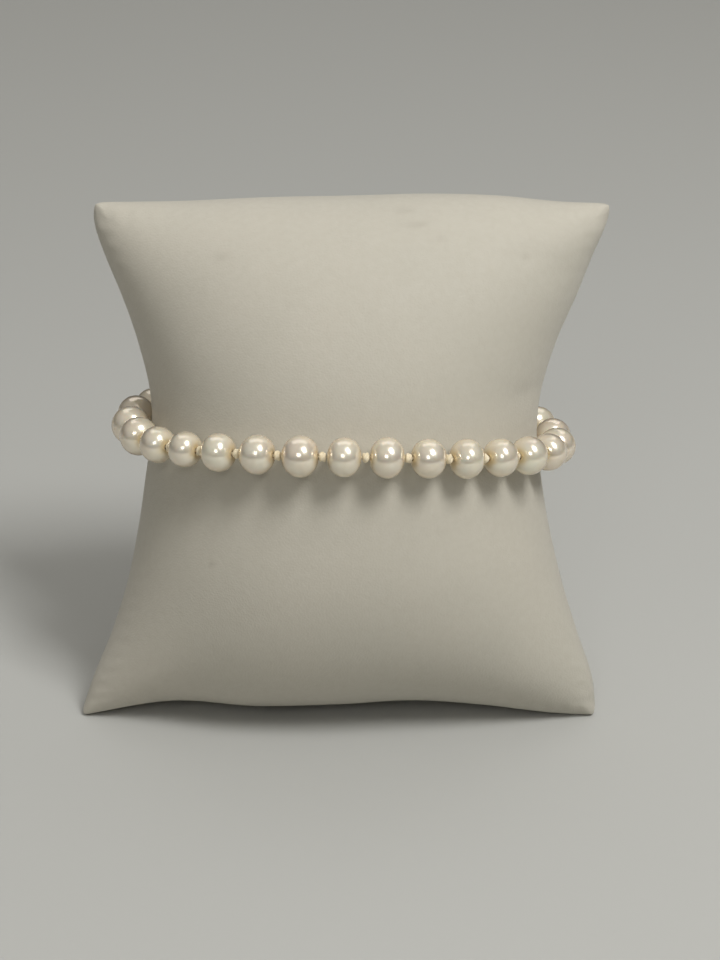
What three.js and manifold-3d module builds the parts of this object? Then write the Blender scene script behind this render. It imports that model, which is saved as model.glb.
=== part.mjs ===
// A knotted strand of pearls, fastened as a bracelet round the small padded
// pillow that displays it. Millimetres, +Z up, the front facing -Y.
//
// The pillow leans back and sits on its underside. Its own frame has z up the
// pillow, from the line between its bottom corners, and y towards its back.
// The strand runs level round the pillow in that frame.
import * as THREE from 'three';
import { ParametricGeometry } from 'three/addons/geometries/ParametricGeometry.js';
import { mergeGeometries, mergeVertices } from 'three/addons/utils/BufferGeometryUtils.js';
import Module from 'manifold-3d';

const wasm = await Module();
wasm.setup();

// ---- driving dimensions ----

const leanBack = THREE.MathUtils.degToRad(15);

const pillow = {
  thickFront: 23.4, // from the plane of the side seams to the front belly
  thickBack: 22.6,
  acrossPower: 2.2, // how square the padding is across the pillow
  acrossPinch: 0.56, // how sharply the panels close on the side seams
  // How the padding closes on the top and bottom seams, as it does across.
  crown: {
    frontTop: { power: 2.4, pinch: 0.52 },
    backTop: { power: 2.4, pinch: 0.52 },
    frontBottom: { power: 2.6, pinch: 0.64 },
    backBottom: { power: 6.5, pinch: 0.16 },
  },
  panelSteps: 22,
};

// The side seams, from the bottom corners to the top ones. They are narrowest
// where the strand holds them.
const sideSeams = [
  { height: 0, left: -44.4, right: 44.3 },
  { height: 7, left: -42.0, right: 43.5 },
  { height: 15, left: -38.7, right: 40.8 },
  { height: 24, left: -35.8, right: 38.0 },
  { height: 34, left: -33.7, right: 35.6 },
  { height: 43, left: -32.2, right: 34.0 },
  { height: 50, left: -31.2, right: 33.3 },
  { height: 57, left: -31.4, right: 34.0 },
  { height: 65, left: -33.4, right: 36.5 },
  { height: 72, left: -35.8, right: 39.6 },
  { height: 79, left: -38.6, right: 42.3 },
  { height: 84, left: -40.2, right: 44.4 },
  { height: 88, left: -40.4, right: 45.4 },
];

// The bottom and top seams, from the left corner (-1) to the right one (1).
// The bottom seam lifts between its corners, in two soft humps.
const endSeams = [
  { across: -1, bottom: 0, top: 87.8 },
  { across: -0.66, bottom: 2.7, top: 88.0 },
  { across: -0.34, bottom: 1.8, top: 88.6 },
  { across: 0, bottom: 2.1, top: 88.9 },
  { across: 0.28, bottom: 2.8, top: 89.2 },
  { across: 0.55, bottom: 2.0, top: 88.9 },
  { across: 0.8, bottom: 0.6, top: 87.9 },
  { across: 1, bottom: 0, top: 87.6 },
];

const loop = {
  centre: 1.05, // a little to the right, as the pillow's waist is
  halfWidth: 35.8,
  halfDepth: 27.1,
};

// The string's height up the pillow, by the angle round it from the front, to
// the right. It rides up behind the left edge, and lies lowest on the right.
const stringHeights = [
  { turn: -180, height: 50.4 },
  { turn: -110, height: 52.3 },
  { turn: -86, height: 51.0 },
  { turn: -58, height: 49.6 },
  { turn: -20, height: 49.6 },
  { turn: 10, height: 49.4 },
  { turn: 40, height: 48.3 },
  { turn: 83, height: 47.4 },
  { turn: 115, height: 49.2 },
  { turn: 180, height: 50.4 },
];

// Each pearl's length along the string and its size across it, from the one
// left of the clasp, round the left edge and the front, to the one on its right.
const pearls = [
  { long: 5.5, wide: 6.1 }, { long: 5.7, wide: 6.3 }, { long: 5.4, wide: 6.2 },
  { long: 5.8, wide: 6.4 }, { long: 5.5, wide: 6.2 }, { long: 5.7, wide: 6.3 },
  { long: 5.9, wide: 6.5 }, { long: 5.6, wide: 6.4 }, { long: 5.5, wide: 6.0 },
  { long: 5.3, wide: 5.8 }, { long: 5.5, wide: 6.2 }, { long: 5.7, wide: 6.3 },
  { long: 6.0, wide: 6.6 }, { long: 5.6, wide: 6.3 }, { long: 5.6, wide: 6.6 },
  { long: 5.6, wide: 6.3 }, { long: 5.4, wide: 6.4 }, { long: 5.4, wide: 6.2 },
  { long: 5.6, wide: 6.3 }, { long: 5.5, wide: 6.2 }, { long: 5.7, wide: 6.3 },
  { long: 5.5, wide: 6.1 }, { long: 5.8, wide: 6.4 }, { long: 5.4, wide: 6.2 },
  { long: 5.6, wide: 6.3 }, { long: 5.5, wide: 6.1 }, { long: 5.7, wide: 6.2 },
];
const frontPearl = 13; // the one in the middle of the front
const frontPearlOffset = 0.2; // of its centre, along the string
const pearlShape = { roundness: 2.15, sides: 12, bands: 6 };
const holeRadius = 0.5;

const silk = {
  radius: 0.22,
  knotRadius: 0.7,
  knotLength: 0.7,
  space: 1.12, // between pearls, for one knot
  sides: 6,
};

const clasp = {
  length: 15.8, // over both end rings
  bodyLength: 9.4,
  bodyWidth: 4.4,
  bodyDepth: 2.6,
  ringRadius: 1.15,
  ringWire: 0.4,
};

// ---- helpers ----

// One closed body from one or more open surfaces that share their edges.
function closedBody(...surfaces) {
  const bare = surfaces.map((surface) => surface.clone());
  bare.forEach((surface) => {
    surface.deleteAttribute('normal');
    surface.deleteAttribute('uv');
  });
  const joined = mergeVertices(mergeGeometries(bare), 1e-4);
  const corners = joined.index.array;
  const kept = [];
  for (let i = 0; i < corners.length; i += 3) {
    const [a, b, c] = [corners[i], corners[i + 1], corners[i + 2]];
    if (a !== b && b !== c && c !== a) kept.push(a, b, c);
  }
  joined.setIndex(kept);
  joined.computeVertexNormals();
  return joined;
}

function toManifold(geometry) {
  const body = closedBody(geometry);
  const vertProperties = new Float32Array(body.attributes.position.array);
  const triVerts = new Uint32Array(body.index.array);
  return new wasm.Manifold(new wasm.Mesh({ numProp: 3, vertProperties, triVerts }));
}

function fromManifold(solid) {
  const mesh = solid.getMesh();
  const geometry = new THREE.BufferGeometry();
  geometry.setAttribute('position', new THREE.BufferAttribute(mesh.vertProperties, 3));
  geometry.setIndex(new THREE.BufferAttribute(mesh.triVerts, 1));
  geometry.computeVertexNormals();
  return geometry;
}

// A smooth curve through the rows of a table: column over key, at a value of key.
function smoothColumn(table, key, column, at) {
  const last = table.length - 1;
  const found = table.findIndex((row) => row[key] > at);
  const i = found < 0 ? last - 1 : Math.max(found - 1, 0);
  const slope = (j) => {
    const before = table[Math.max(j - 1, 0)];
    const after = table[Math.min(j + 1, last)];
    return (after[column] - before[column]) / (after[key] - before[key]);
  };
  const step = table[i + 1][key] - table[i][key];
  const t = (at - table[i][key]) / step;
  const ease = t * t * (3 - 2 * t);
  const rise = table[i][column] * (1 - ease) + table[i + 1][column] * ease;
  return rise + step * t * (1 - t) * (slope(i) * (1 - t) - slope(i + 1) * t);
}

// ---- materials ----

const nacre = new THREE.MeshStandardMaterial({ color: 0xf1ebdf, roughness: 0.22 });
const silkThread = new THREE.MeshStandardMaterial({ color: 0xefe6cf, roughness: 0.8 });
const gold = new THREE.MeshStandardMaterial({ color: 0xd9b45f, roughness: 0.25, metalness: 1 });
const leatherette = new THREE.MeshStandardMaterial({ color: 0xd3cdbd, roughness: 0.75 });

// ---- the pillow ----

// A point of the front or back panel. across and up run from -1 to 1. The
// padding's thickness falls to nothing on all four seams, and whatever would
// reach below the surface it sits on is flattened there.
function pillowPoint(across, up, isFront, target) {
  const end = (isFront ? 'front' : 'back') + (up > 0 ? 'Top' : 'Bottom');
  const { power, pinch } = pillow.crown[end];
  const lengthwise = (1 - Math.abs(up) ** power) ** pinch;
  const crosswise = (1 - Math.abs(across) ** pillow.acrossPower) ** pillow.acrossPinch;
  const y = (isFront ? -pillow.thickFront : pillow.thickBack) * lengthwise * crosswise;
  const bottom = smoothColumn(endSeams, 'across', 'bottom', across);
  const top = smoothColumn(endSeams, 'across', 'top', across);
  const z = bottom + ((top - bottom) * (up + 1)) / 2;
  const left = smoothColumn(sideSeams, 'height', 'left', z);
  const right = smoothColumn(sideSeams, 'height', 'right', z);
  const x = (left + right) / 2 + (across * (right - left)) / 2;
  target.set(x, y, z).applyAxisAngle(new THREE.Vector3(1, 0, 0), -leanBack);
  target.z = Math.max(target.z, 0);
}

// Grid steps close up towards the seams, where the panels turn fastest.
const seamSpacing = (t) => Math.sin((t - 0.5) * Math.PI);

function pillowPanel(isFront) {
  const steps = pillow.panelSteps;
  const onPanel = (u, v, target) => {
    const across = (isFront ? 1 : -1) * seamSpacing(u);
    pillowPoint(across, seamSpacing(v), isFront, target);
  };
  return new ParametricGeometry(onPanel, steps, steps);
}

// ---- the string's route ----

// Once round, from the back, by the left edge and the front: t from 0 to 1.
class LoopCurve extends THREE.Curve {
  getPoint(t, target = new THREE.Vector3()) {
    const turn = (t - 0.5) * 360; // 0 at the front, growing to the right
    const angle = THREE.MathUtils.degToRad(turn);
    return target.set(
      loop.centre + loop.halfWidth * Math.sin(angle),
      -loop.halfDepth * Math.cos(angle),
      smoothColumn(stringHeights, 'turn', 'height', turn),
    );
  }
}

const route = new LoopCurve();
route.arcLengthDivisions = 800;
const routeLength = route.getLength();

// A point of the string and its direction, at a distance from the back middle.
function alongRoute(distance) {
  const t = THREE.MathUtils.euclideanModulo(distance / routeLength, 1);
  return { point: route.getPointAt(t), direction: route.getTangentAt(t) };
}

// Where each pearl sits: they lie end to end with a knot's space between them.
function threadPearls() {
  const places = pearls.map(() => 0);
  places[frontPearl] = routeLength / 2 + frontPearlOffset;
  const pitch = (k) => (pearls[k].long + pearls[k + 1].long) / 2 + silk.space;
  for (let k = frontPearl; k < pearls.length - 1; k += 1) places[k + 1] = places[k] + pitch(k);
  for (let k = frontPearl; k > 0; k -= 1) places[k - 1] = places[k] - pitch(k - 1);
  return places.map(alongRoute);
}

// ---- the pearls ----

// A slightly flattened round, drilled along the string: its profile is turned
// about the hole, which is +Y here.
function pearlGeometry({ long, wide }) {
  const { roundness, sides, bands } = pearlShape;
  const half = long / 2;
  const radiusAt = (t) => (wide / 2) * (1 - Math.abs(t) ** roundness) ** (1 / roundness);
  let rim = 1;
  while (radiusAt(rim) < holeRadius) rim -= 0.0005;
  const profile = [];
  for (let i = 0; i <= bands; i += 1) {
    const t = rim * Math.sin((i / bands - 0.5) * Math.PI);
    profile.push(new THREE.Vector2(Math.max(radiusAt(t), holeRadius), half * t));
  }
  profile[0].x = holeRadius;
  profile[bands].x = holeRadius;
  profile.push(profile[0].clone());
  return closedBody(new THREE.LatheGeometry(profile, sides));
}

function makePearl(size, place, number) {
  const mesh = new THREE.Mesh(pearlGeometry(size), nacre);
  mesh.name = `pearl_${String(number).padStart(2, '0')}`;
  mesh.position.copy(place.point);
  mesh.quaternion.setFromUnitVectors(new THREE.Vector3(0, 1, 0), place.direction);
  return mesh;
}

// ---- the silk ----

// The thread is straight through each pearl and swells into a knot after it.
function silkStations(places) {
  const stations = [];
  const add = (point, radius) => stations.push({ point, radius });
  const knot = (from, to) => {
    const middle = from.clone().lerp(to, 0.5);
    const half = to.clone().sub(from).setLength(silk.knotLength / 2);
    add(middle.clone().sub(half), silk.radius);
    add(middle.clone().addScaledVector(half, -0.6), silk.knotRadius * 0.8);
    add(middle, silk.knotRadius);
    add(middle.clone().addScaledVector(half, 0.6), silk.knotRadius * 0.8);
    add(middle.clone().add(half), silk.radius);
  };
  const ends = places.map(({ point, direction }, k) => {
    const half = pearls[k].long / 2;
    return {
      entry: point.clone().addScaledVector(direction, -half),
      exit: point.clone().addScaledVector(direction, half),
    };
  });
  const first = places[0].direction.clone().multiplyScalar(silk.space);
  const last = places[places.length - 1].direction.clone().multiplyScalar(silk.space);
  const start = ends[0].entry.clone().sub(first);
  const finish = ends[ends.length - 1].exit.clone().add(last);
  add(start.clone().addScaledVector(first, 0.1), 0);
  knot(start, ends[0].entry);
  ends.forEach(({ entry, exit }, k) => {
    add(entry, silk.radius);
    add(exit, silk.radius);
    knot(exit, k + 1 < ends.length ? ends[k + 1].entry : finish);
  });
  add(finish.clone().addScaledVector(last, -0.1), 0);
  return stations;
}

// A round tube through the stations, whose radius follows them to a point at each end.
function silkGeometry(places) {
  const stations = silkStations(places);
  const last = stations.length - 1;
  const up = new THREE.Vector3(0, 0, 1);
  const ahead = new THREE.Vector3();
  const side = new THREE.Vector3();
  const onThread = (u, v, target) => {
    const i = Math.round(v * last);
    const turn = (Math.round(u * silk.sides) % silk.sides) * ((2 * Math.PI) / silk.sides);
    ahead.subVectors(stations[Math.min(i + 1, last)].point, stations[Math.max(i - 1, 0)].point);
    side.crossVectors(up, ahead).normalize();
    target.copy(stations[i].point)
      .addScaledVector(side, stations[i].radius * Math.cos(turn))
      .addScaledVector(up, stations[i].radius * Math.sin(turn));
  };
  return closedBody(new ParametricGeometry(onThread, silk.sides, last));
}

// ---- the clasp ----

// A plain flattened barrel with a ring at each end, one soldered piece along +Y.
function claspGeometry() {
  const profile = [];
  const bands = 6;
  for (let i = 0; i <= bands; i += 1) {
    const angle = (i / bands - 0.5) * Math.PI;
    profile.push(new THREE.Vector2(Math.cos(angle) / 2, (Math.sin(angle) * clasp.bodyLength) / 2));
  }
  profile[0].x = 0;
  profile[bands].x = 0;
  const barrel = new THREE.LatheGeometry(profile, 16);
  barrel.scale(clasp.bodyDepth, 1, clasp.bodyWidth);
  let solid = toManifold(barrel);
  for (const side of [-1, 1]) {
    const ring = new THREE.TorusGeometry(clasp.ringRadius, clasp.ringWire, 8, 14);
    ring.translate(0, side * (clasp.length / 2 - clasp.ringRadius - clasp.ringWire), 0);
    const stemLength = clasp.length / 2 - 2 * clasp.ringRadius - clasp.bodyLength / 4;
    const stem = new THREE.CylinderGeometry(clasp.ringWire, clasp.ringWire, stemLength, 8);
    stem.translate(0, side * (clasp.bodyLength / 4 + stemLength / 2), 0);
    solid = solid.add(toManifold(ring)).add(toManifold(stem));
  }
  return fromManifold(solid);
}

function makeClasp(places) {
  const from = places[places.length - 1].point;
  const to = places[0].point;
  const mesh = new THREE.Mesh(claspGeometry(), gold);
  mesh.name = 'clasp';
  mesh.position.copy(from).lerp(to, 0.5);
  mesh.quaternion.setFromUnitVectors(new THREE.Vector3(0, 1, 0), to.clone().sub(from).normalize());
  return mesh;
}

// ---- the whole ----

const part = new THREE.Group();

const pillowMesh = new THREE.Mesh(closedBody(pillowPanel(true), pillowPanel(false)), leatherette);
pillowMesh.name = 'display_pillow';
part.add(pillowMesh);

const strand = new THREE.Group();
strand.rotation.x = -leanBack;
part.add(strand);

const places = threadPearls();
places.forEach((place, k) => strand.add(makePearl(pearls[k], place, k + 1)));
const silkMesh = new THREE.Mesh(silkGeometry(places), silkThread);
silkMesh.name = 'silk_thread';
strand.add(silkMesh);
strand.add(makeClasp(places));

// The origin is the middle of the footprint of the whole, on the surface it stands on.
part.updateMatrixWorld(true);
const extent = new THREE.Box3().setFromObject(part, true);
part.position.x = -(extent.min.x + extent.max.x) / 2;
part.position.y = -(extent.min.y + extent.max.y) / 2;

export default part;
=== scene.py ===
# A knotted pearl bracelet round its small padded display pillow.
# Everything is in metres, +Z up, the front facing -Y.
import math

import bmesh
import bpy
import numpy as np
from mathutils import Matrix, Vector


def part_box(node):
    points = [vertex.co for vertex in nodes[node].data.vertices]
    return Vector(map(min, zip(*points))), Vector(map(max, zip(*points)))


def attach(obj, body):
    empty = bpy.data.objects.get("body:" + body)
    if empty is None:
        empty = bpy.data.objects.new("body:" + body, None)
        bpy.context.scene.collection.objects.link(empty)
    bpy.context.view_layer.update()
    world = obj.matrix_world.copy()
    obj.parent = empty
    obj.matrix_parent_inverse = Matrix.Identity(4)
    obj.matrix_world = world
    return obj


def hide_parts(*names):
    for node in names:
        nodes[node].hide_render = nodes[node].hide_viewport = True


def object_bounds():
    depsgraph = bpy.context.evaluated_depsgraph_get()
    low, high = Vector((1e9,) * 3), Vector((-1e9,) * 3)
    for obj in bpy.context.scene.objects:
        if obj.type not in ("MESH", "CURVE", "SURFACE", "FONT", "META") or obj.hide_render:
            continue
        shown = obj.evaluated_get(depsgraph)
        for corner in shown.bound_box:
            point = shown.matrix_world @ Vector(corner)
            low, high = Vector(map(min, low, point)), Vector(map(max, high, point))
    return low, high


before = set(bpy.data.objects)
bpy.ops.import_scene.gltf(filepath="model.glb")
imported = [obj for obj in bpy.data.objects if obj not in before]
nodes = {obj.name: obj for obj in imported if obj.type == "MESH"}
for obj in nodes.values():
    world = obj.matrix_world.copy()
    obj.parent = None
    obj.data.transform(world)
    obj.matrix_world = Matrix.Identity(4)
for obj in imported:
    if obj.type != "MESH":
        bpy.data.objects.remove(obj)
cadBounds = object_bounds()
mm = 0.001

scene = bpy.context.scene
scene.view_settings.view_transform = "Standard"
print("stage: frame loaded,", len(nodes), "nodes")


# The pillow's own directions. It leans back, so "up the pillow" is not quite straight up.
leanBack = math.radians(15)
rightWay = np.array([1.0, 0.0, 0.0])
backWay = np.array([0.0, math.cos(leanBack), -math.sin(leanBack)])
upWay = np.array([0.0, math.sin(leanBack), math.cos(leanBack)])


def nodePoints(name):
    mesh = nodes[name].data
    points = np.empty(len(mesh.vertices) * 3)
    mesh.vertices.foreach_get("co", points)
    return points.reshape(-1, 3)


def unit(vectors):
    return vectors / np.linalg.norm(vectors, axis=-1, keepdims=True)


def gridMesh(name, points, closeRows=False, closeColumns=False, **marks):
    # points is (rows, columns, 3). Each four neighbours make one face, and a
    # closed direction joins its last line to its first. Each mark is a value
    # for every point, which a material reads by its name.
    rows, columns = points.shape[:2]
    row = np.arange(rows if closeRows else rows - 1)
    column = np.arange(columns if closeColumns else columns - 1)
    r, c = np.meshgrid(row, column, indexing="ij")
    r1, c1 = (r + 1) % rows, (c + 1) % columns
    faces = np.stack([r * columns + c, r * columns + c1, r1 * columns + c1, r1 * columns + c], -1)
    mesh = bpy.data.meshes.new(name)
    mesh.from_pydata(points.reshape(-1, 3), [], faces.reshape(-1, 4))
    uvs = mesh.uv_layers.new(name="surface")
    u = np.stack([c, c + 1, c + 1, c], -1) / columns
    v = np.stack([r, r, r + 1, r + 1], -1) / rows
    uvs.data.foreach_set("uv", np.stack([u, v], -1).ravel())
    for label, values in marks.items():
        mark = mesh.attributes.new(label, "FLOAT", "POINT")
        mark.data.foreach_set("value", values.ravel())
    return mesh


def addPiece(name, meshes, material, smooth=True):
    # Joins the meshes into one object, welds what meets and points the faces outwards.
    work = bmesh.new()
    for mesh in meshes:
        work.from_mesh(mesh)
        bpy.data.meshes.remove(mesh)
    bmesh.ops.remove_doubles(work, verts=work.verts, dist=2e-7)
    bmesh.ops.recalc_face_normals(work, faces=work.faces)
    mesh = bpy.data.meshes.new(name)
    work.to_mesh(mesh)
    work.free()
    mesh.materials.append(material)
    mesh.polygons.foreach_set("use_smooth", np.full(len(mesh.polygons), smooth))
    piece = bpy.data.objects.new(name, mesh)
    scene.collection.objects.link(piece)
    return piece


def newMaterial(name):
    material = bpy.data.materials.new(name)
    material.use_nodes = True
    tree = material.node_tree
    tree.nodes.clear()
    output = tree.nodes.new("ShaderNodeOutputMaterial")
    shader = tree.nodes.new("ShaderNodeBsdfPrincipled")
    tree.links.new(shader.outputs["BSDF"], output.inputs["Surface"])
    return material, tree, shader


def addNode(tree, kind, inputs=None, **settings):
    node = tree.nodes.new(kind)
    for key, value in settings.items():
        setattr(node, key, value)
    for key, value in (inputs or {}).items():
        if isinstance(value, bpy.types.NodeSocket):
            tree.links.new(value, node.inputs[key])
        else:
            node.inputs[key].default_value = value
    return node


def mixColours(tree, factor, first, second, blend="MIX"):
    inputs = {"Factor": factor, 6: first, 7: second}
    return addNode(tree, "ShaderNodeMix", inputs, data_type="RGBA", blend_type=blend).outputs[2]


def mapRange(tree, value, toMin, toMax, fromMin=0.0, fromMax=1.0):
    inputs = {"Value": value, "From Min": fromMin, "From Max": fromMax}
    inputs.update({"To Min": toMin, "To Max": toMax})
    return addNode(tree, "ShaderNodeMapRange", inputs).outputs["Result"]


def newGroup(name, inputs, outputs):
    group = bpy.data.node_groups.new(name, "ShaderNodeTree")
    for label, kind, value in inputs:
        socket = group.interface.new_socket(label, in_out="INPUT", socket_type=kind)
        socket.default_value = value
    for label, kind in outputs:
        group.interface.new_socket(label, in_out="OUTPUT", socket_type=kind)
    return group, group.nodes.new("NodeGroupInput"), group.nodes.new("NodeGroupOutput")


# Slow cloudy variation over a surface, 0 to 1.
def makeMottle():
    sockets = [("Scale", "NodeSocketFloat", 100.0), ("Contrast", "NodeSocketFloat", 1.0)]
    group, source, result = newGroup("mottle", sockets, [("Mask", "NodeSocketFloat")])
    where = addNode(group, "ShaderNodeTexCoord").outputs["Object"]
    inputs = {"Vector": where, "Scale": source.outputs["Scale"], "Detail": 3.0}
    noise = addNode(group, "ShaderNodeTexNoise", inputs)
    centred = addNode(group, "ShaderNodeMath", {0: noise.outputs["Fac"], 1: 0.5}, operation="SUBTRACT")
    stretched = addNode(
        group,
        "ShaderNodeMath",
        {0: centred.outputs[0], 1: source.outputs["Contrast"], 2: 0.5},
        operation="MULTIPLY_ADD",
        use_clamp=True,
    )
    group.links.new(stretched.outputs[0], result.inputs["Mask"])
    return group


# Fine pebbled grain: rounded cells with a little noise on them, as a height.
def makeGrain():
    sockets = [("Cells", "NodeSocketFloat", 2000.0), ("Roughen", "NodeSocketFloat", 0.3)]
    group, source, result = newGroup("grain", sockets, [("Height", "NodeSocketFloat")])
    where = addNode(group, "ShaderNodeTexCoord").outputs["Object"]
    inputs = {"Vector": where, "Scale": source.outputs["Cells"], "Smoothness": 0.6}
    cells = addNode(group, "ShaderNodeTexVoronoi", inputs, feature="SMOOTH_F1")
    inputs = {"Vector": where, "Scale": source.outputs["Cells"], "Detail": 4.0}
    noise = addNode(group, "ShaderNodeTexNoise", inputs)
    height = addNode(
        group,
        "ShaderNodeMath",
        {0: noise.outputs["Fac"], 1: source.outputs["Roughen"], 2: cells.outputs["Distance"]},
        operation="MULTIPLY_ADD",
    )
    group.links.new(height.outputs[0], result.inputs["Height"])
    return group


mottle = makeMottle()
grain = makeGrain()


def useGroup(tree, group, **inputs):
    node = tree.nodes.new("ShaderNodeGroup")
    node.node_tree = group
    for key, value in inputs.items():
        node.inputs[key].default_value = value
    return node


pearlLook = {
    "around": 56,
    "bands": 36,
    "roundness": 2.15,  # 2 is an ellipse; more is squarer
    "holeRadius": 0.5 * mm,
    "lumps": 0.016,  # how far from round, as a part of the radius
    "dimple": 0.12 * mm,  # the drilled ends dip in a little
    "dimpleRadius": 0.9 * mm,
    "body": (0.90, 0.815, 0.64, 1),
    "cool": (0.86, 0.835, 0.69, 1),
    "blush": (0.90, 0.73, 0.64, 1),
    # painted shade: a darker, warmer tone laid on where the pearls turn away at their outlines
    "shade": (0.78, 0.66, 0.44, 1),  # the warmer tone at the outline
    # painted shade between the pearls: a darker golden tone round their drilled ends, facing the knots and
    # neighbours
    "drilled": (0.76, 0.62, 0.38, 1),  # and round the drilled ends
    "drilledReach": 1.5 * mm,
}


def makeNacre():
    material, tree, shader = newMaterial("nacre")
    clouds = useGroup(tree, mottle, Scale=420.0, Contrast=2.2).outputs["Mask"]
    patches = useGroup(tree, mottle, Scale=150.0, Contrast=2.5).outputs["Mask"]
    colour = mixColours(tree, clouds, pearlLook["body"], pearlLook["cool"])
    colour = mixColours(tree, mapRange(tree, patches, 0.0, 0.45), colour, pearlLook["blush"])
    # Painted shade: the outline is darkened by how far it faces away from the view.
    facing = addNode(tree, "ShaderNodeLayerWeight", {"Blend": 0.35}).outputs["Facing"]
    edge = mapRange(tree, facing, 0.0, 0.6)
    colour = mixColours(tree, edge, colour, pearlLook["shade"])
    # Painted shade round the drilled ends, where the pearls meet the knots and each other.
    drill = addNode(tree, "ShaderNodeAttribute", attribute_name="drill").outputs["Fac"]
    colour = mixColours(tree, drill, colour, pearlLook["drilled"])
    tree.links.new(colour, shader.inputs["Base Color"])
    tree.links.new(mapRange(tree, clouds, 0.16, 0.24), shader.inputs["Roughness"])
    tree.links.new(mapRange(tree, patches, 0.42, 0.56), shader.inputs["Metallic"])
    skin = useGroup(tree, grain, Cells=1500.0, Roughen=0.6).outputs["Height"]
    bump = addNode(tree, "ShaderNodeBump", {"Strength": 0.05, "Distance": 0.0001, "Height": skin})
    tree.links.new(bump.outputs["Normal"], shader.inputs["Normal"])
    shader.inputs["Subsurface Weight"].default_value = 0.25
    shader.inputs["Subsurface Radius"].default_value = (1.0, 0.8, 0.55)
    shader.inputs["Subsurface Scale"].default_value = 0.0012
    shader.inputs["Thin Film Thickness"].default_value = 360
    shader.inputs["Thin Film IOR"].default_value = 1.4
    shader.inputs["Coat Weight"].default_value = 0.8
    shader.inputs["Coat Roughness"].default_value = 0.07
    shader.inputs["Coat IOR"].default_value = 1.7
    return material


def lumpiness(directions, rng):
    # The sum of a few slow cosine waves, each running along its own random direction.
    waves = unit(rng.normal(size=(5, 3))) * rng.uniform(1.2, 3.4, size=(5, 1))
    phases = rng.uniform(0, 2 * np.pi, size=5)
    heights = rng.uniform(0.4, 1.0, size=5)
    return (np.cos(directions @ waves.T + phases) * heights).sum(-1) / heights.sum()


def pearlPlaces():
    # Each pearl's centre, string direction, length and width, measured on its CAD node.
    names = sorted(name for name in nodes if name.startswith("pearl_"))
    points = [nodePoints(name) for name in names]
    centres = np.array([(p.min(0) + p.max(0)) / 2 for p in points])
    ahead = np.gradient(centres, axis=0)
    ways = unit(ahead)
    places = []
    for name, cloud, centre, way in zip(names, points, centres, ways):
        along = (cloud - centre) @ way
        across = np.linalg.norm(cloud - centre - along[:, None] * way, axis=1)
        size = {"long": along.max() - along.min(), "wide": 2 * across.max()}
        places.append({"name": name, "centre": centre, "way": way, **size})
    return places


def pearlMesh(place, rng):
    # A superellipse of length "long" and width "wide" turned about the string,
    # its ends dipped in round the hole, the whole scaled by its lumpiness. The
    # profile comes back through the drilled hole, so it closes on itself.
    look = pearlLook
    n = look["roundness"]
    half, radius = place["long"] / 2, place["wide"] / 2
    rim = (1 - (look["holeRadius"] / radius) ** n) ** (1 / n)
    t = rim * np.sin(np.linspace(-0.5, 0.5, look["bands"]) * np.pi)
    outer = radius * (1 - np.abs(t) ** n) ** (1 / n)
    dip = look["dimple"] * np.exp(-((outer / look["dimpleRadius"]) ** 2))
    axial = half * t - np.sign(t) * dip
    inner = np.linspace(axial[-1], axial[0], 5)[1:-1]
    axial = np.concatenate([axial, inner])
    outer = np.concatenate([outer, np.full(len(inner), look["holeRadius"])])
    turn = np.arange(look["around"]) * 2 * np.pi / look["around"]
    side = unit(np.cross(place["way"], upWay))
    top = np.cross(side, place["way"])
    spoke = np.cos(turn)[:, None] * side + np.sin(turn)[:, None] * top
    offsets = outer[:, None, None] * spoke + axial[:, None, None] * place["way"]
    fade = np.clip((outer - look["holeRadius"]) / (0.8 * mm), 0, 1)[:, None]
    swell = 1 + look["lumps"] * lumpiness(unit(offsets), rng) * fade
    # How much painted shade each ring of the profile gets: full by the hole, none past the reach.
    drill = np.exp(-((outer / look["drilledReach"]) ** 4))[:, None] * np.ones(look["around"])
    return gridMesh(place["name"], place["centre"] + offsets * swell[..., None], True, True, drill=drill)


def makePearls(places, material):
    rng = np.random.default_rng(27)
    for place in places:
        mesh = pearlMesh(place, rng)
        piece = addPiece(place["name"].replace("_", "") + "_nacre", [mesh], material)
        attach(piece, "root")
        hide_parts(place["name"])


silkLook = {
    "radius": 0.22 * mm,
    "knotRadius": 0.84 * mm,
    "knotLength": 1.12 * mm,
    "knotSquareness": 2.8,  # 2 is an ellipse; more fills the space between pearls
    "plies": 3,
    "plyDepth": 0.2,
    "twist": 0.9 * mm,  # one turn of the plies takes this much thread
    "around": 24,
    "step": 0.045 * mm,
    "colour": (0.76, 0.64, 0.42, 1),
    "pale": (0.84, 0.75, 0.56, 1),
}


def makeSilkMaterial():
    material, tree, shader = newMaterial("silk")
    clouds = useGroup(tree, mottle, Scale=900.0, Contrast=2.0).outputs["Mask"]
    colour = mixColours(tree, clouds, silkLook["colour"], silkLook["pale"])
    tree.links.new(colour, shader.inputs["Base Color"])
    fibres = useGroup(tree, grain, Cells=9000.0, Roughen=0.5).outputs["Height"]
    bump = addNode(tree, "ShaderNodeBump", {"Strength": 0.4, "Distance": 0.00004, "Height": fibres})
    tree.links.new(bump.outputs["Normal"], shader.inputs["Normal"])
    shader.inputs["Roughness"].default_value = 0.6
    shader.inputs["Sheen Weight"].default_value = 0.3
    return material


def tubeMesh(name, path, radii, turns, closed=False):
    # A tube whose radius is given at each point of the path and each angle round it.
    ahead = unit(np.roll(path, -1, 0) - np.roll(path, 1, 0) if closed else np.gradient(path, axis=0))
    side = unit(np.cross(upWay, ahead))
    top = np.cross(ahead, side)
    spokes = np.cos(turns)[None, :, None] * side[:, None] + np.sin(turns)[None, :, None] * top[:, None]
    return gridMesh(name, path[:, None] + radii[..., None] * spokes, closed, True)


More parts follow.
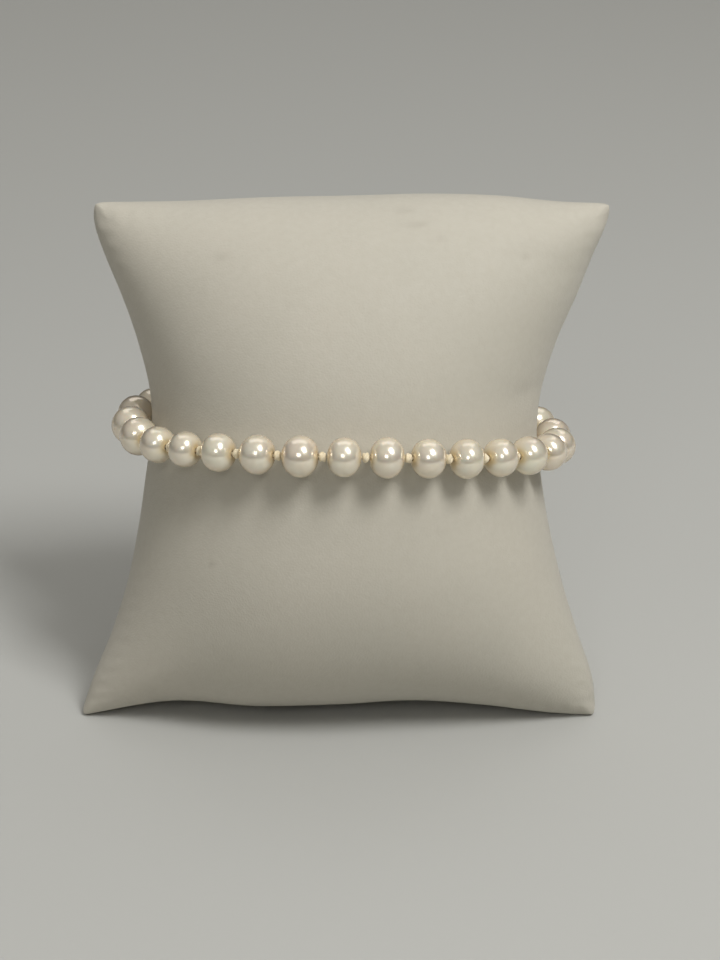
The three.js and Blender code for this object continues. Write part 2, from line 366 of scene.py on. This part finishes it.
def silkMesh(places):
    # The thread runs straight through each pearl and swells into a knot after
    # it: a blunt oval bump in radius, with the plies as a wave winding round.
    look = silkLook
    ends = [(p["centre"] - p["way"] * p["long"] / 2, p["centre"] + p["way"] * p["long"] / 2) for p in places]
    space = np.linalg.norm(ends[1][0] - ends[0][1])
    start = ends[0][0] - places[0]["way"] * space
    finish = ends[-1][1] + places[-1]["way"] * space
    corners = np.array([start, *[point for pair in ends for point in pair], finish])
    lengths = np.concatenate([[0], np.cumsum(np.linalg.norm(np.diff(corners, axis=0), axis=1))])
    knots = (lengths[0::2] + lengths[1::2]) / 2
    distance = np.arange(0, lengths[-1], look["step"])
    path = np.stack([np.interp(distance, lengths, corners[:, i]) for i in range(3)], -1)
    nearest = np.abs(distance[:, None] - knots).min(1) / (look["knotLength"] / 2)
    power = look["knotSquareness"]
    swell = np.clip(1 - nearest**power, 0, 1) ** (1 / power)
    turns = np.arange(look["around"]) * 2 * np.pi / look["around"]
    winding = look["plies"] * turns + (distance / look["twist"] * 2 * np.pi)[:, None]
    plies = 1 + look["plyDepth"] * (np.cos(winding) - 1) / 2
    radii = (look["radius"] + (look["knotRadius"] - look["radius"]) * swell)[:, None] * plies
    radii[[0, -1]] = 0
    return tubeMesh("silk", path, radii, turns)


def ringMesh(name, centre, firstWay, secondWay, radius, wire, steps=40, around=14):
    # A round ring in the plane of two directions: its wire carried along a circle.
    turn = np.arange(steps) * 2 * np.pi / steps
    tilt = np.arange(around) * 2 * np.pi / around
    outward = np.cos(turn)[:, None] * firstWay + np.sin(turn)[:, None] * secondWay
    normal = np.cross(firstWay, secondWay)
    reach = radius + wire * np.cos(tilt)
    points = centre + outward[:, None] * reach[None, :, None] + wire * np.sin(tilt)[None, :, None] * normal
    return gridMesh(name, points, True, True)


def makeSilk(places, claspPlace, material):
    # A small loop of thread ties each end knot to the clasp's ring.
    look = silkLook
    meshes = [silkMesh(places)]
    for sign in (-1, 1):
        centre = claspPlace["centre"] + sign * claspPlace["way"] * (claspPlace["ringAt"] + claspPlace["ringRadius"])
        loop = (centre, claspPlace["way"], upWay, 0.95 * mm, look["radius"])
        meshes.append(ringMesh("silkLoop", *loop))
    piece = addPiece("silkThread", meshes, material)
    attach(piece, "root")
    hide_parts("silk_thread")


claspLook = {
    "barrel": 9.4 * mm,
    "width": 4.4 * mm,
    "depth": 2.6 * mm,
    "ringRadius": 1.15 * mm,
    "ringWire": 0.4 * mm,
    "stemRadius": 0.42 * mm,
    "gold": (0.86, 0.62, 0.26, 1),
}


def makeGold():
    material, tree, shader = newMaterial("gold")
    clouds = useGroup(tree, mottle, Scale=600.0, Contrast=1.5).outputs["Mask"]
    tree.links.new(mapRange(tree, clouds, 0.16, 0.3), shader.inputs["Roughness"])
    scratches = useGroup(tree, grain, Cells=4000.0, Roughen=1.0).outputs["Height"]
    bump = addNode(tree, "ShaderNodeBump", {"Strength": 0.05, "Distance": 0.00005, "Height": scratches})
    tree.links.new(bump.outputs["Normal"], shader.inputs["Normal"])
    shader.inputs["Base Color"].default_value = claspLook["gold"]
    shader.inputs["Metallic"].default_value = 1.0
    return material


def claspPlace(places):
    low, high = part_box("clasp")
    way = unit(places[0]["centre"] - places[-1]["centre"])
    points = nodePoints("clasp")
    centre = np.array((low + high) / 2)
    reach = np.abs((points - centre) @ way).max()
    ringAt = reach - claspLook["ringRadius"] - claspLook["ringWire"]
    return {"centre": centre, "way": way, "ringAt": ringAt, "ringRadius": claspLook["ringRadius"]}


def makeClasp(place, material):
    # The barrel is a flattened oval turned about the string, with a shallow
    # groove round its middle. Its ends run out into the stems of the two rings.
    look = claspLook
    side = np.cross(upWay, place["way"])
    t = np.linspace(-1, 1, 60)
    turn = np.arange(48) * 2 * np.pi / 48
    round_ = np.sqrt(np.clip(1 - np.abs(t) ** 2.4, 0, 1))
    groove = 1 - 0.06 * np.exp(-(((np.abs(t) - 0.12) / 0.025) ** 2))
    section = np.cos(turn)[:, None] * side * look["depth"] / 2 + np.sin(turn)[:, None] * upWay * look["width"] / 2
    body = place["centre"] + (t * look["barrel"] / 2)[:, None, None] * place["way"]
    meshes = [gridMesh("barrel", body + (round_ * groove)[:, None, None] * section, False, True)]
    for sign in (-1, 1):
        ringCentre = place["centre"] + sign * place["way"] * place["ringAt"]
        meshes.append(ringMesh("ring", ringCentre, place["way"], side, look["ringRadius"], look["ringWire"]))
        inner = look["barrel"] / 2 - 0.8 * mm
        outerEnd = place["ringAt"] - look["ringRadius"]
        along = np.linspace(inner, outerEnd, 8)
        path = place["centre"] + sign * along[:, None] * place["way"]
        radii = np.full((8, 16), look["stemRadius"])
        radii[[0, -1]] = 0
        meshes.append(tubeMesh("stem", path, radii, np.arange(16) * np.pi / 8))
    piece = addPiece("claspGold", meshes, material)
    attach(piece, "root")
    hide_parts("clasp")


pillowLook = {
    "steps": 150,  # grid steps across and up each panel
    "thickFront": 23.4 * mm,
    "thickBack": 22.6 * mm,
    "acrossPower": 2.2,
    "acrossPinch": 0.56,
    "edge": 0.3 * mm,  # half the thickness of the sewn edge
    "edgeReach": 3 * mm,  # how far in from the seam it fades away
    "roll": 0.2 * mm,  # how far each panel rolls out beside the seam
    "cornerCut": 0.01,  # how far the corners are rounded off, as a part of the half-width
    "pucker": 0.07 * mm,  # small gathers along the seams
    "puckerPitch": 2.6 * mm,
    "cream": (0.545, 0.51, 0.43, 1),
    "grey": (0.505, 0.48, 0.405, 1),
    "soil": (0.40, 0.36, 0.28, 1),
    # the darkest tone serves both the smudges and the painted shade at two dents
    "smudge": (0.22, 0.18, 0.13, 1),
}
pillowCloth = {
    "steps": 44,
    "scale": 20,  # it is blown up at the size of a big cushion, which suits the solver
    "frames": 20,
    "pressure": 10.0,
    "stiffness": 40.0,
    "bending": 1.0,
    "cap": 0.9 * mm,  # the furthest that a point may move
    "clear": 7 * mm,  # the cover is held this far above and below the bracelet
    "smoothing": 5,
}
# How the padding closes on the top and bottom seams: power and pinch.
pillowCrown = {
    "frontTop": (2.4, 0.52),
    "backTop": (2.4, 0.52),
    "frontBottom": (2.6, 0.64),
    "backBottom": (6.5, 0.16),
}
# Up the pillow from its bottom corners: where the left and right seams run, in mm.
sideSeams = np.array(
    [
        (0, -44.4, 44.3),
        (7, -42.0, 43.5),
        (15, -38.7, 40.8),
        (24, -35.8, 38.0),
        (34, -33.7, 35.6),
        (43, -32.2, 34.0),
        (50, -31.2, 33.3),
        (57, -31.4, 34.0),
        (65, -33.4, 36.5),
        (72, -35.8, 39.6),
        (79, -38.6, 42.3),
        (84, -40.2, 44.4),
        (88, -40.4, 45.4),
    ],
    dtype=[("height", float), ("left", float), ("right", float)],
)
# From the left corner (-1) to the right one (1): the bottom and top seams' heights, in mm.
endSeams = np.array(
    [
        (-1, 0, 87.8),
        (-0.66, 2.7, 88.0),
        (-0.34, 1.8, 88.6),
        (0, 2.1, 88.9),
        (0.28, 2.8, 89.2),
        (0.55, 2.0, 88.9),
        (0.8, 0.6, 87.9),
        (1, 0, 87.6),
    ],
    dtype=[("across", float), ("bottom", float), ("top", float)],
)
# Soft dents in the front panel: where, how wide (as parts of the half-width
# and half-height) and how deep in mm. A negative depth is a bump.
dents = np.array(
    [
        (0.70, 0.80, 0.10, 0.05, 0.40),
        (0.85, 0.75, 0.07, 0.06, 0.50),
        (0.90, 0.30, 0.07, 0.035, 0.50),
        (0.95, 0.95, 0.05, 0.04, 0.60),
        (-0.65, -0.40, 0.012, 0.008, -0.12),
    ],
    dtype=[("across", float), ("up", float), ("wide", float), ("tall", float), ("depth", float)],
)


# Faint smudges on the front panel, placed and sized in the same way. The rows at 0.70, 0.80 and -0.60, -0.35 lie on
# a dent and a small bump: painted shade there.
smudgesAndDentShade = np.array(
    [
        (-0.50, 0.80, 0.03, 0.015, 0.15),
        (0.20, 0.95, 0.035, 0.01, 0.15),
        (0.25, 0.90, 0.045, 0.01, 0.20),
        (0.35, 0.85, 0.025, 0.01, 0.15),
        (0.70, 0.80, 0.02, 0.01, 0.15),
        (-0.60, -0.35, 0.015, 0.01, 0.25),
    ],
    dtype=[("across", float), ("up", float), ("wide", float), ("tall", float), ("strength", float)],
)


def smoothColumn(table, key, column, at):
    # A cubic through the table's rows, with each row's slope taken from its neighbours.
    x, y = table[key], table[column]
    before, after = np.maximum(np.arange(len(x)) - 1, 0), np.minimum(np.arange(len(x)) + 1, len(x) - 1)
    slope = (y[after] - y[before]) / (x[after] - x[before])
    i = np.clip(np.searchsorted(x, at, side="right") - 1, 0, len(x) - 2)
    step = x[i + 1] - x[i]
    t = (at - x[i]) / step
    ease = t * t * (3 - 2 * t)
    rise = y[i] * (1 - ease) + y[i + 1] * ease
    return rise + step * t * (1 - t) * (slope[i] * (1 - t) - slope[i + 1] * t)


def spot(place, across, up):
    # A round soft spot: 1 at its middle and fading outwards as a bell curve.
    away = ((across - place["across"]) / place["wide"]) ** 2 + ((up - place["up"]) / place["tall"]) ** 2
    return np.exp(-away)


def roll(inward):
    # Nothing on the seam, most half a millimetre in from it, and fading after that.
    near = inward / 0.5
    return near * np.exp(1 - near)


def panelPoints(across, up, front):
    # Each panel is a skin between the four seams. Its height over their plane is
    # a closing curve lengthwise times one crosswise, so it falls to nothing on
    # every seam, plus the thin sewn edge, the gathers beside it and the dents.
    # Each panel rolls a little past the seam, which is left in a narrow groove.
    look = pillowLook
    side = "front" if front else "back"
    power = np.where(up > 0, pillowCrown[side + "Top"][0], pillowCrown[side + "Bottom"][0])
    pinch = np.where(up > 0, pillowCrown[side + "Top"][1], pillowCrown[side + "Bottom"][1])
    lengthwise = (1 - np.abs(up) ** power) ** pinch
    crosswise = (1 - np.abs(across) ** look["acrossPower"]) ** look["acrossPinch"]
    depth = look["thickFront" if front else "thickBack"] * lengthwise * crosswise
    fromSide, fromEnd = 1 - np.abs(across), 1 - np.abs(up)
    inward = np.minimum(fromSide * 38 * mm, fromEnd * 44 * mm)
    offSeam = np.clip(1 - np.exp(-inward / (0.35 * mm)), 0, 1)
    depth = depth + look["edge"] * np.sqrt(offSeam) * np.exp(-inward / look["edgeReach"])
    along = np.where(fromSide * 38 < fromEnd * 44, up * 44 * mm, across * 38 * mm)
    gathers = np.cos(along / look["puckerPitch"] * 2 * np.pi + 1.7 * np.sin(along / (9 * mm)))
    gathers = gathers * np.exp(-(((inward - 1.8 * mm) / (1.4 * mm)) ** 2))
    depth = depth + look["pucker"] * gathers * offSeam
    if front:
        for dent in dents:
            depth = depth - dent["depth"] * mm * spot(dent, across, up) * offSeam
    swell = look["roll"] * roll(inward / mm)
    cut = look["cornerCut"]
    across, up = across * (1 - cut * np.abs(up) ** 90), up * (1 - cut * np.abs(across) ** 90)
    bottom = smoothColumn(endSeams, "across", "bottom", across)
    top = smoothColumn(endSeams, "across", "top", across)
    height = bottom + (top - bottom) * (up + 1) / 2
    left = smoothColumn(sideSeams, "height", "left", height)
    right = smoothColumn(sideSeams, "height", "right", height)
    sideways = (left + right) / 2 + across * (right - left) / 2
    outward = np.where(np.abs(across) > 0.5, np.sign(across), 0) * (fromSide * 38 < fromEnd * 44 + 0.5)
    raised = np.where(np.abs(up) > 0.5, np.sign(up), 0) * (fromEnd * 44 < fromSide * 38 + 0.5)
    sideways = sideways * mm + outward * swell
    height = height * mm + raised * swell
    back = -depth if front else depth
    return sideways[..., None] * rightWay + height[..., None] * upWay + back[..., None] * backWay


def pillowOrigin():
    # The middle of the line between the bottom corners, where its heights start.
    points = nodePoints("display_pillow")
    corner = points[points[:, 0].argmin()]
    return np.array([corner[0] - sideSeams["left"][0] * mm, corner[1], 0.0])


def pillowRings(steps):
    # Rings round the pillow, across the front and home across the back, from
    # the bottom seam to the top one. Steps close up towards the seams.
    close = np.sin(np.linspace(-0.5, 0.5, steps + 1) * np.pi)
    up, across = np.meshgrid(close, close, indexing="ij")
    front = panelPoints(across, up, True)
    back = panelPoints(across, up, False)[:, ::-1]
    return across, up, np.concatenate([front, back[:, 1:-1]], axis=1) + pillowOrigin()


def stuffingMove():
    # A coarse net of the cover, sewn fast along its seams, is blown up as cloth
    # by the stuffing's pressure. Gives how far each of its points moved.
    look = pillowCloth
    steps = look["steps"]
    points = pillowRings(steps)[2] * look["scale"]
    net = bpy.data.objects.new("clothNet", gridMesh("clothNet", points, False, True))
    scene.collection.objects.link(net)
    sewn = np.zeros(points.shape[:2], dtype=bool)
    sewn[[0, -1]] = True
    sewn[:, [0, steps]] = True
    net.vertex_groups.new(name="sewn").add(np.flatnonzero(sewn).tolist(), 1.0, "REPLACE")
    cloth = net.modifiers.new("cloth", "CLOTH")
    cloth.settings.quality = 6
    cloth.settings.tension_stiffness = look["stiffness"]
    cloth.settings.compression_stiffness = look["stiffness"]
    cloth.settings.shear_stiffness = look["stiffness"] / 2
    cloth.settings.bending_stiffness = look["bending"]
    cloth.settings.use_pressure = True
    cloth.settings.uniform_pressure_force = look["pressure"]
    cloth.settings.vertex_group_mass = "sewn"
    cloth.settings.effector_weights.gravity = 0
    cloth.point_cache.frame_end = look["frames"]
    for step in range(1, look["frames"] + 1):
        scene.frame_set(step)
    blown = net.evaluated_get(bpy.context.evaluated_depsgraph_get()).data
    after = np.empty(points.size)
    blown.vertices.foreach_get("co", after)
    bpy.data.objects.remove(net)
    scene.frame_set(1)
    return (after.reshape(points.shape) - points) / look["scale"]


def spread(values, steps):
    # Carries a coarse net's values to a finer one, straight between its points
    # and then smoothed along both ways. They are nothing on the seams.
    coarse = len(values) - 1
    rows = np.linspace(0, coarse, steps + 1)
    columns = np.linspace(0, 2 * coarse, 2 * steps, endpoint=False)
    r, c = np.minimum(rows.astype(int), coarse - 1), columns.astype(int)
    dr, dc = (rows - r)[:, None, None], (columns - c)[None, :, None]
    tall = values[r] * (1 - dr) + values[r + 1] * dr
    fine = tall[:, c] * (1 - dc) + tall[:, (c + 1) % (2 * coarse)] * dc
    for step in range(pillowCloth["smoothing"]):
        fine[1:-1] = (fine[:-2] + 2 * fine[1:-1] + fine[2:]) / 4
        fine = (np.roll(fine, 1, 1) + 2 * fine + np.roll(fine, -1, 1)) / 4
        fine[[0, -1]] = 0
        fine[:, [0, steps]] = 0
    return fine


def pillowMesh():
    # The cover's rings, moved as the stuffing blows them up, though no further
    # than the cap, and not at all under the bracelet. What would go below the
    # surface it sits on is flattened there.
    steps = pillowLook["steps"]
    across, up, points = pillowRings(steps)
    move = stuffingMove()
    far = np.linalg.norm(move, axis=-1, keepdims=True)
    print("stage: stuffing moved the cover by up to", round(float(far.max()) * 1000, 2), "mm")
    move = move * pillowCloth["cap"] / np.maximum(far, pillowCloth["cap"])
    move = spread(move, steps)
    low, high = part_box("silk_thread")
    away = np.maximum(np.maximum(low.z - points[..., 2], points[..., 2] - high.z), 0)
    points = points + move * (1 - np.exp(-((away / pillowCloth["clear"]) ** 2)))[..., None]
    points[..., 2] = np.maximum(points[..., 2], 0)
    # The soil mark holds the real smudges and the painted shade at two dents.
    soil = np.zeros(points.shape[:2])
    soil[:, : steps + 1] = sum(row["strength"] * spot(row, across, up) for row in smudgesAndDentShade)
    return gridMesh("pillow", points, False, True, soil=soil)


def makeLeatherette():
    material, tree, shader = newMaterial("leatherette")
    slow = useGroup(tree, mottle, Scale=35.0, Contrast=2.0).outputs["Mask"]
    fine = useGroup(tree, mottle, Scale=900.0, Contrast=2.5).outputs["Mask"]
    colour = mixColours(tree, slow, pillowLook["cream"], pillowLook["grey"])
    colour = mixColours(tree, mapRange(tree, fine, 0.0, 0.12), colour, pillowLook["soil"])
    # Smudges and painted dent shade, from the soil mark.
    smudge = addNode(tree, "ShaderNodeAttribute", attribute_name="soil").outputs["Fac"]
    colour = mixColours(tree, smudge, colour, pillowLook["smudge"])
    tree.links.new(colour, shader.inputs["Base Color"])
    tree.links.new(mapRange(tree, fine, 0.62, 0.75), shader.inputs["Roughness"])
    pebbles = useGroup(tree, grain, Cells=3000.0, Roughen=0.6).outputs["Height"]
    bump = addNode(tree, "ShaderNodeBump", {"Strength": 0.4, "Distance": 0.00007, "Height": pebbles})
    tree.links.new(bump.outputs["Normal"], shader.inputs["Normal"])
    shader.inputs["Specular IOR Level"].default_value = 0.35
    shader.inputs["Sheen Weight"].default_value = 0.15
    shader.inputs["Sheen Roughness"].default_value = 0.6
    return material


def makePillow(material):
    piece = addPiece("pillowCover", [pillowMesh()], material)
    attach(piece, "root")
    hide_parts("display_pillow")


places = pearlPlaces()
makePearls(places, makeNacre())
print("stage: pearls made,", len(places))
claspSpot = claspPlace(places)
makeSilk(places, claspSpot, makeSilkMaterial())
makeClasp(claspSpot, makeGold())
print("stage: silk and clasp made")
makePillow(makeLeatherette())
print("stage: pillow made")


studio = {
    "floorColour": (0.47, 0.47, 0.445, 1),
    "floorHalf": 6.0,
    "roomColour": (1.0, 0.97, 0.9, 1),
    "roomLow": 0.025,
    "roomHigh": 0.38,
    "lens": 82.5,
    "elevation": 25,
    "distance": 379 * mm,
    "aim": (3.25 * mm, 5.0 * mm, -6.6 * mm),  # from the middle of the whole
}
# Where each light stands: towards it from the object, how far, its size and power.
lights = [
    {"name": "keyLight", "toward": (0.372, -0.424, 0.825), "away": 0.9, "size": (0.20, 0.32), "power": 5.1},
    {"name": "keyGlow", "toward": (0.372, -0.424, 0.825), "away": 0.95, "size": (0.5, 0.8), "power": 0.6},
    {"name": "lamp", "toward": (-0.13, -0.84, 0.53), "away": 0.9, "size": (0.3, 0.22), "power": 0.8},
    {"name": "frontLeft", "toward": (-0.6, -0.6, 0.5), "away": 1.5, "size": (1.3, 1.3), "power": 0.5},
    {"name": "backTop", "toward": (0.0, 0.55, 0.83), "away": 1.9, "size": (2.2, 1.4), "power": 6.0},
]


def makeFloor():
    material, tree, shader = newMaterial("paleFloor")
    shader.inputs["Base Color"].default_value = studio["floorColour"]
    shader.inputs["Roughness"].default_value = 0.85
    half = studio["floorHalf"]
    corners = np.array([[(-half, -half, 0), (half, -half, 0)], [(-half, half, 0), (half, half, 0)]])
    floor = bpy.data.objects.new("floor", gridMesh("floor", corners))
    floor.data.materials.append(material)
    scene.collection.objects.link(floor)


def makeLights(middle):
    for row in lights:
        data = bpy.data.lights.new(row["name"], "AREA")
        data.shape = "RECTANGLE"
        data.size, data.size_y = row["size"]
        data.energy = row["power"]
        lamp = bpy.data.objects.new(row["name"], data)
        toward = Vector(row["toward"]).normalized()
        lamp.location = middle + toward * row["away"]
        lamp.rotation_euler = toward.to_track_quat("Z", "Y").to_euler()
        scene.collection.objects.link(lamp)


def makeWorld():
    # Dim near the horizon and brighter overhead.
    world = bpy.data.worlds.new("room")
    world.use_nodes = True
    tree = world.node_tree
    background = tree.nodes["Background"]
    background.inputs["Color"].default_value = studio["roomColour"]
    where = addNode(tree, "ShaderNodeTexCoord").outputs["Generated"]
    height = addNode(tree, "ShaderNodeSeparateXYZ", {"Vector": where}).outputs["Z"]
    strength = mapRange(tree, height, studio["roomLow"], studio["roomHigh"], 0.1, 0.9)
    tree.links.new(strength, background.inputs["Strength"])
    scene.world = world


def makeCamera(middle):
    data = bpy.data.cameras.new("camera")
    data.lens = studio["lens"]
    camera = bpy.data.objects.new("camera", data)
    down = math.radians(studio["elevation"])
    back = Vector((0, -math.cos(down), math.sin(down)))
    camera.location = middle + Vector(studio["aim"]) + back * studio["distance"]
    camera.rotation_euler = back.to_track_quat("Z", "Y").to_euler()
    data.clip_start, data.clip_end = 0.01, 20
    scene.collection.objects.link(camera)
    scene.camera = camera


middle = (cadBounds[0] + cadBounds[1]) / 2
makeFloor()
makeLights(middle)
makeWorld()
makeCamera(middle)
print("stage: studio ready")
